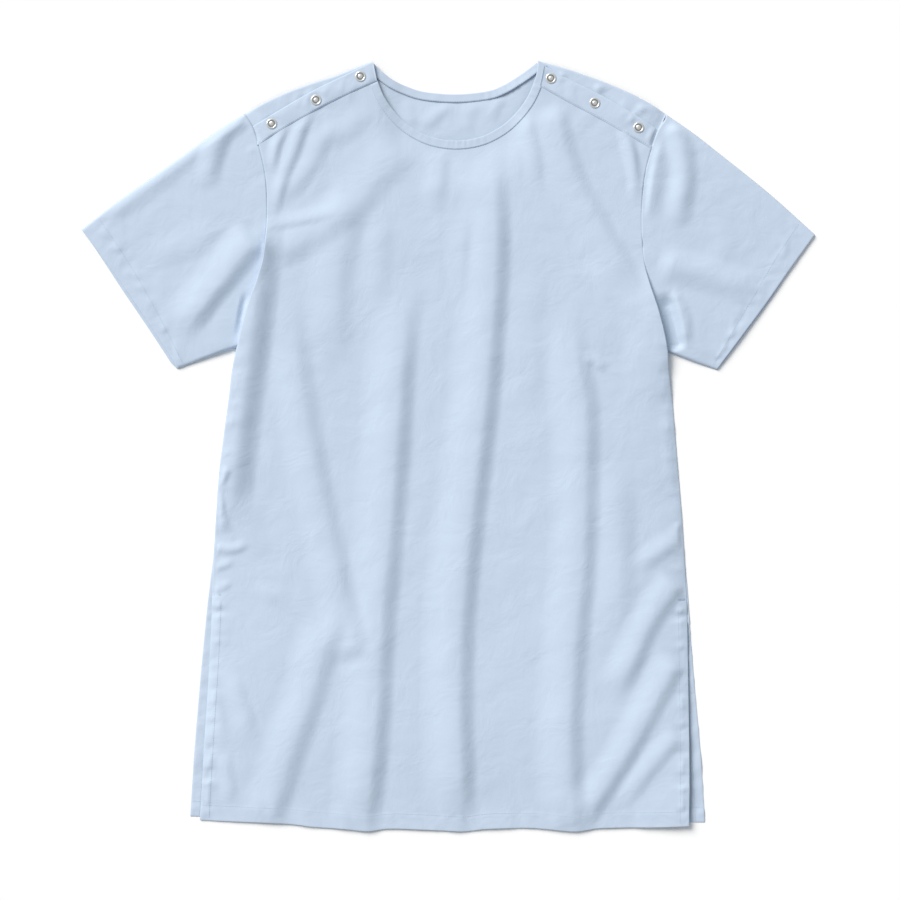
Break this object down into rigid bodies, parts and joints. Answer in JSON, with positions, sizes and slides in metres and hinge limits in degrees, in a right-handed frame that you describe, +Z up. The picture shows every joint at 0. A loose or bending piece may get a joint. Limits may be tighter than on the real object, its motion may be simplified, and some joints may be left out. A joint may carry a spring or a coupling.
{
  "type": "patient gown",
  "caption": "Short-sleeved patient gown with bound round neck, overlapping shoulder openings closed by press studs, side seams and open side slits, laid flat.",
  "frame": {"origin": "middle of the footprint of the gown laid flat on its back, on the surface it lies on", "axes": "+Y from the hem towards the neck, +X towards the wearer's left, +Z up out of the surface"},
  "size_m": [0.9922, 1.042, 0.0127],
  "materials": {
    "cotton": "plain weave",
    "binding": "plain weave",
    "thread": "sewing thread",
    "nickel": "polished"
  },
  "bodies": {
    "gown": {"back_panel": "cotton", "front_panel": "cotton", "front_neck_binding": "binding", "back_neck_facing": "binding", "left_sleeve_head": "cotton", "left_side_seam": "cotton", "left_slit_bartack": "thread", "left_underlap_facing": "cotton", "left_snap_1_stud": "nickel", "left_snap_1_post": "nickel", "left_snap_2_stud": "nickel", "left_snap_2_post": "nickel", "left_snap_3_stud": "nickel", "left_snap_3_post": "nickel", "right_sleeve_head": "cotton", "right_side_seam": "cotton", "right_slit_bartack": "thread", "right_underlap_facing": "cotton", "right_snap_1_stud": "nickel", "right_snap_1_post": "nickel", "right_snap_2_stud": "nickel", "right_snap_2_post": "nickel", "right_snap_3_stud": "nickel", "right_snap_3_post": "nickel"},
    "left_corner": {"left_front_corner": "cotton", "left_neck_binding": "binding", "left_shoulder_strip": "cotton", "left_strip_end_binding": "binding", "left_snap_1_cap": "nickel", "left_snap_1_socket": "nickel", "left_snap_2_cap": "nickel", "left_snap_2_socket": "nickel", "left_snap_3_cap": "nickel", "left_snap_3_socket": "nickel"},
    "left_sleeve_body": {"left_sleeve": "cotton"},
    "right_corner": {"right_front_corner": "cotton", "right_neck_binding": "binding", "right_shoulder_strip": "cotton", "right_strip_end_binding": "binding", "right_snap_1_cap": "nickel", "right_snap_1_socket": "nickel", "right_snap_2_cap": "nickel", "right_snap_2_socket": "nickel", "right_snap_3_cap": "nickel", "right_snap_3_socket": "nickel"},
    "right_sleeve_body": {"right_sleeve": "cotton"},
    "skirt": {"front_skirt": "cotton"}
  },
  "joints": [
    {"name": "left_corner_fold", "type": "hinge", "parent": "gown", "child": "left_corner", "pos_m": [0.26419, 0.404, 0.0113], "axis": [0.9966, -0.0827, 0], "range_deg": [0, 168]},
    {"name": "right_corner_fold", "type": "hinge", "parent": "gown", "child": "right_corner", "pos_m": [-0.26419, 0.404, 0.0113], "axis": [0.9966, 0.0827, 0], "range_deg": [0, 168]},
    {"name": "left_sleeve_fold", "type": "hinge", "parent": "gown", "child": "left_sleeve_body", "pos_m": [0.307, 0.11654, 0.014], "axis": [0.0485, -0.9988, 0], "range_deg": [0, 170]},
    {"name": "right_sleeve_fold", "type": "hinge", "parent": "gown", "child": "right_sleeve_body", "pos_m": [-0.307, 0.11654, 0.014], "axis": [0.0485, 0.9988, 0], "range_deg": [0, 170]},
    {"name": "skirt_fold", "type": "hinge", "parent": "gown", "child": "skirt", "pos_m": [0, -0.208, 0.0105], "axis": [-1, 0, 0], "range_deg": [0, 165]}
  ]
}
